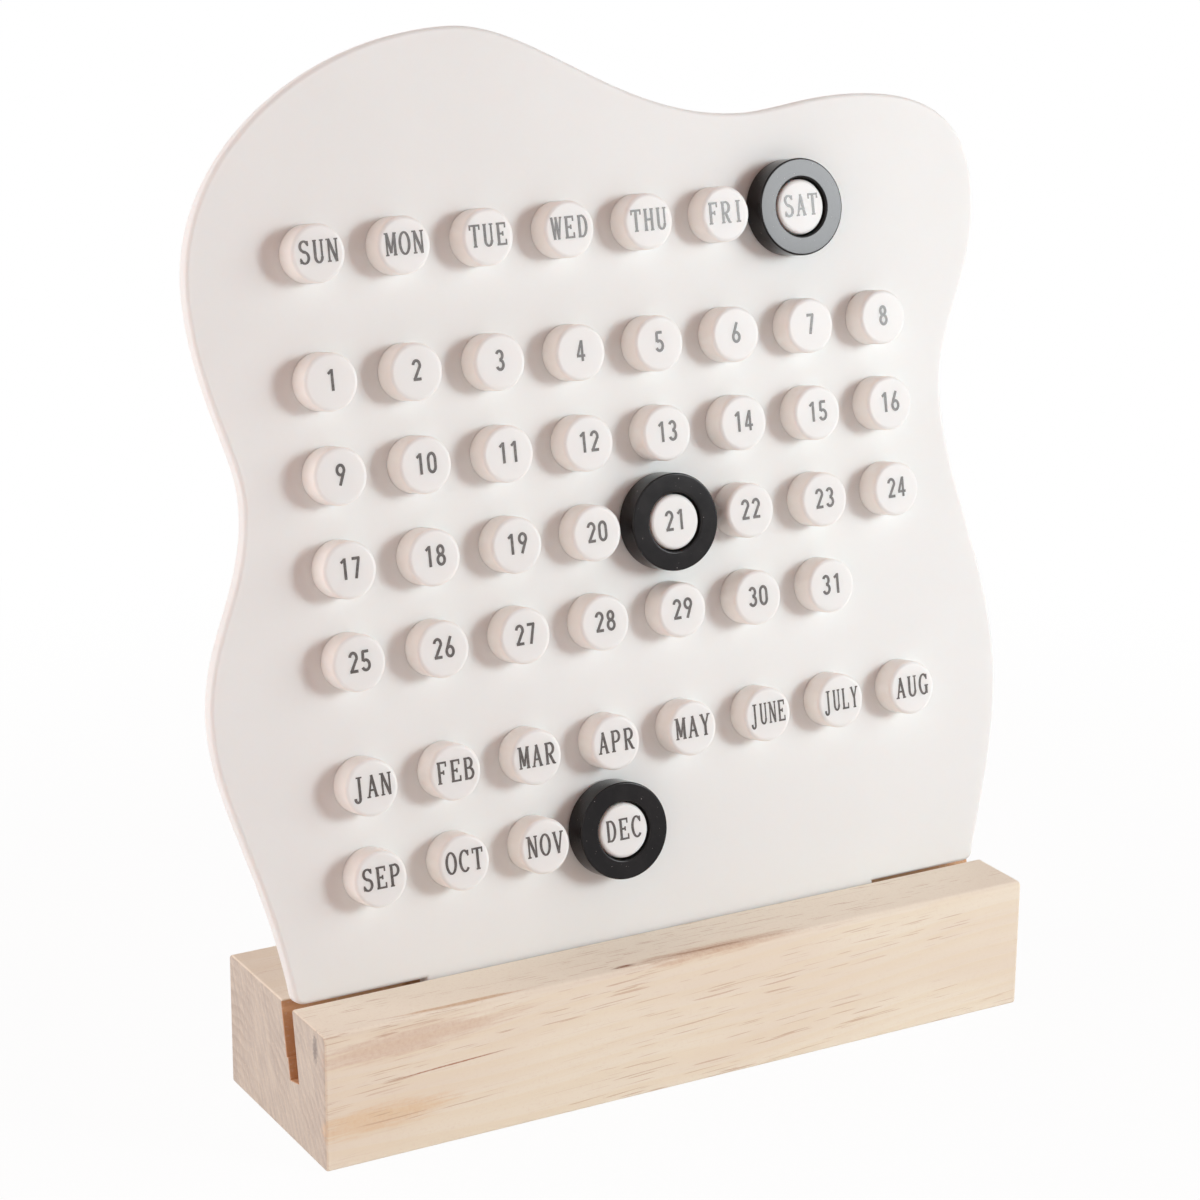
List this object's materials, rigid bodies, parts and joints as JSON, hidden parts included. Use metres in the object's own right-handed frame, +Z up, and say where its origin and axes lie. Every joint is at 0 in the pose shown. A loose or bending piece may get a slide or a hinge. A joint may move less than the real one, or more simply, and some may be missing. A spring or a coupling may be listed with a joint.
{
  "type": "perpetual desk calendar",
  "caption": "Wavy pegged board leaning in a slotted pine block; black rings lift off the printed pegs to mark weekday, date and month.",
  "frame": {"origin": "centre of the pine block's underside, on the surface that the calendar stands on", "axes": "+Z up, +X to the right along the block as seen from the front, front towards -Y; the board leans back towards +Y"},
  "size_m": [0.205, 0.0615, 0.232],
  "materials": {
    "pine": "pale sanded pine, unlacquered, with fine grain along the block",
    "board_white": "warm white moulded plastic, satin",
    "peg_white": "warm white moulded plastic, satin, with dark printed legends",
    "ring_black": "black moulded plastic, matte with a faint sheen",
    "legend_ink": "dark grey printing ink on the faces of the pegs"
  },
  "bodies": {
    "base": {"wooden_base": "pine"},
    "board": {"calendar_board": "board_white", "peg_sun": "peg_white", "peg_mon": "peg_white", "peg_tue": "peg_white", "peg_wed": "peg_white", "peg_thu": "peg_white", "peg_fri": "peg_white", "peg_sat": "peg_white", "peg_01": "peg_white", "peg_02": "peg_white", "peg_03": "peg_white", "peg_04": "peg_white", "peg_05": "peg_white", "peg_06": "peg_white", "peg_07": "peg_white", "peg_08": "peg_white", "peg_09": "peg_white", "peg_10": "peg_white", "peg_11": "peg_white", "peg_12": "peg_white", "peg_13": "peg_white", "peg_14": "peg_white", "peg_15": "peg_white", "peg_16": "peg_white", "peg_17": "peg_white", "peg_18": "peg_white", "peg_19": "peg_white", "peg_20": "peg_white", "peg_21": "peg_white", "peg_22": "peg_white", "peg_23": "peg_white", "peg_24": "peg_white", "peg_25": "peg_white", "peg_26": "peg_white", "peg_27": "peg_white", "peg_28": "peg_white", "peg_29": "peg_white", "peg_30": "peg_white", "peg_31": "peg_white", "peg_jan": "peg_white", "peg_feb": "peg_white", "peg_mar": "peg_white", "peg_apr": "peg_white", "peg_may": "peg_white", "peg_jun": "peg_white", "peg_jul": "peg_white", "peg_aug": "peg_white", "peg_sep": "peg_white", "peg_oct": "peg_white", "peg_nov": "peg_white", "peg_dec": "peg_white"},
    "weekday_ring": {"weekday_ring": "ring_black"},
    "date_ring": {"date_ring": "ring_black"},
    "month_ring": {"month_ring": "ring_black"}
  },
  "joints": [
    {"name": "board_lift", "type": "slide", "parent": "base", "child": "board", "axis": [0, 0.1977, 0.9803], "range_m": [0, 0.025]},
    {"name": "weekday_ring_pull", "type": "slide", "parent": "board", "child": "weekday_ring", "axis": [0, -0.9803, 0.1977], "range_m": [0, 0.012]},
    {"name": "date_ring_pull", "type": "slide", "parent": "board", "child": "date_ring", "axis": [0, -0.9803, 0.1977], "range_m": [0, 0.012]},
    {"name": "month_ring_pull", "type": "slide", "parent": "board", "child": "month_ring", "axis": [0, -0.9803, 0.1977], "range_m": [0, 0.012]}
  ]
}
